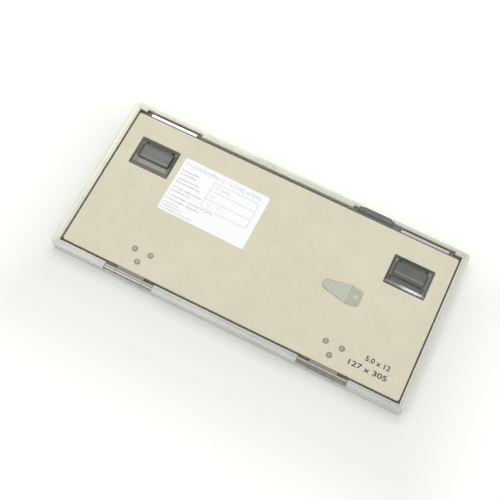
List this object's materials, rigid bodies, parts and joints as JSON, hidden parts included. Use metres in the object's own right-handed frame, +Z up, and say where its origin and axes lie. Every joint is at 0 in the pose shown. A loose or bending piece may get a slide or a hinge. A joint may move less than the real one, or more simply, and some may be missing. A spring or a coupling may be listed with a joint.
{
  "type": "x-ray film cassette",
  "caption": "Flat metal-framed x-ray film cassette with a hinged lid, sliding thumb latches, a lift tab, a record label and a card clip.",
  "frame": {"origin": "middle of the outline, on the surface that the closed cassette lies on, x-ray side down", "axes": "+X along the long sides, +Y from the hinge side to the latch side, +Z up out of the lid"},
  "size_m": [0.335, 0.159, 0.011],
  "materials": {
    "frame_aluminium": "clear anodised, satin",
    "key_plastic": "moulded nylon",
    "entry_panel": "painted on the outside",
    "screen": "smooth matt phosphor coating",
    "felt": "dense black felt",
    "lid_paint": "fine textured enamel, matt",
    "backing_plate": "plain",
    "lead": "dull rolled foil",
    "foam": "fine open foam",
    "tab_plastic": "fine moulded grain",
    "label_paper": "coated self-adhesive paper",
    "clip_steel": "satin",
    "rivet_metal": "dull",
    "hinge_steel": "bright",
    "latch_plastic": "moulded, slightly glossy",
    "tongue_steel": "polished"
  },
  "bodies": {
    "frame": {"frame_rail_front": "frame_aluminium", "frame_rail_rear": "frame_aluminium", "frame_rail_left": "frame_aluminium", "frame_rail_right": "frame_aluminium", "corner_keys": "key_plastic", "entry_panel": "entry_panel", "front_screen": "screen", "light_seal": "felt", "hinge_frame_leaf_left": "hinge_steel", "hinge_frame_rivets_left": "rivet_metal", "hinge_pin_left": "hinge_steel", "hinge_frame_leaf_right": "hinge_steel", "hinge_frame_rivets_right": "rivet_metal", "hinge_pin_right": "hinge_steel"},
    "lid": {"lid_panel": "lid_paint", "backing_plate": "backing_plate", "lead_foil": "lead", "foam_pad": "foam", "back_screen": "screen", "lift_tab": "tab_plastic", "record_label": "label_paper", "card_clip_base": "clip_steel", "card_clip_rivet": "rivet_metal", "hinge_lid_leaf_left": "hinge_steel", "hinge_lid_rivets_left": "rivet_metal", "latch_housing_left": "latch_plastic", "latch_guide_studs_left": "hinge_steel", "latch_friction_spring_left": "hinge_steel", "hinge_lid_leaf_right": "hinge_steel", "hinge_lid_rivets_right": "rivet_metal", "latch_housing_right": "latch_plastic", "latch_guide_studs_right": "hinge_steel", "latch_friction_spring_right": "hinge_steel"},
    "latch_left": {"latch_slider_left": "latch_plastic", "latch_tongue_left": "tongue_steel"},
    "latch_right": {"latch_slider_right": "latch_plastic", "latch_tongue_right": "tongue_steel"},
    "card_clip": {"card_clip_leaf": "clip_steel"}
  },
  "joints": [
    {"name": "lid_hinge", "type": "hinge", "parent": "frame", "child": "lid", "pos_m": [0, -0.076, 0.0087], "axis": [1, 0, 0], "range_deg": [0, 180]},
    {"name": "latch_left_slide", "type": "slide", "parent": "lid", "child": "latch_left", "axis": [0, 1, 0], "range_m": [0, 0.0022]},
    {"name": "latch_right_slide", "type": "slide", "parent": "lid", "child": "latch_right", "axis": [0, 1, 0], "range_m": [0, 0.0022]},
    {"name": "card_clip_bend", "type": "hinge", "parent": "lid", "child": "card_clip", "pos_m": [0.0852, -0.0041, 0.00955], "axis": [0, 1, 0], "range_deg": [0, 6], "stiffness_Nm_per_rad": 0.3}
  ]
}
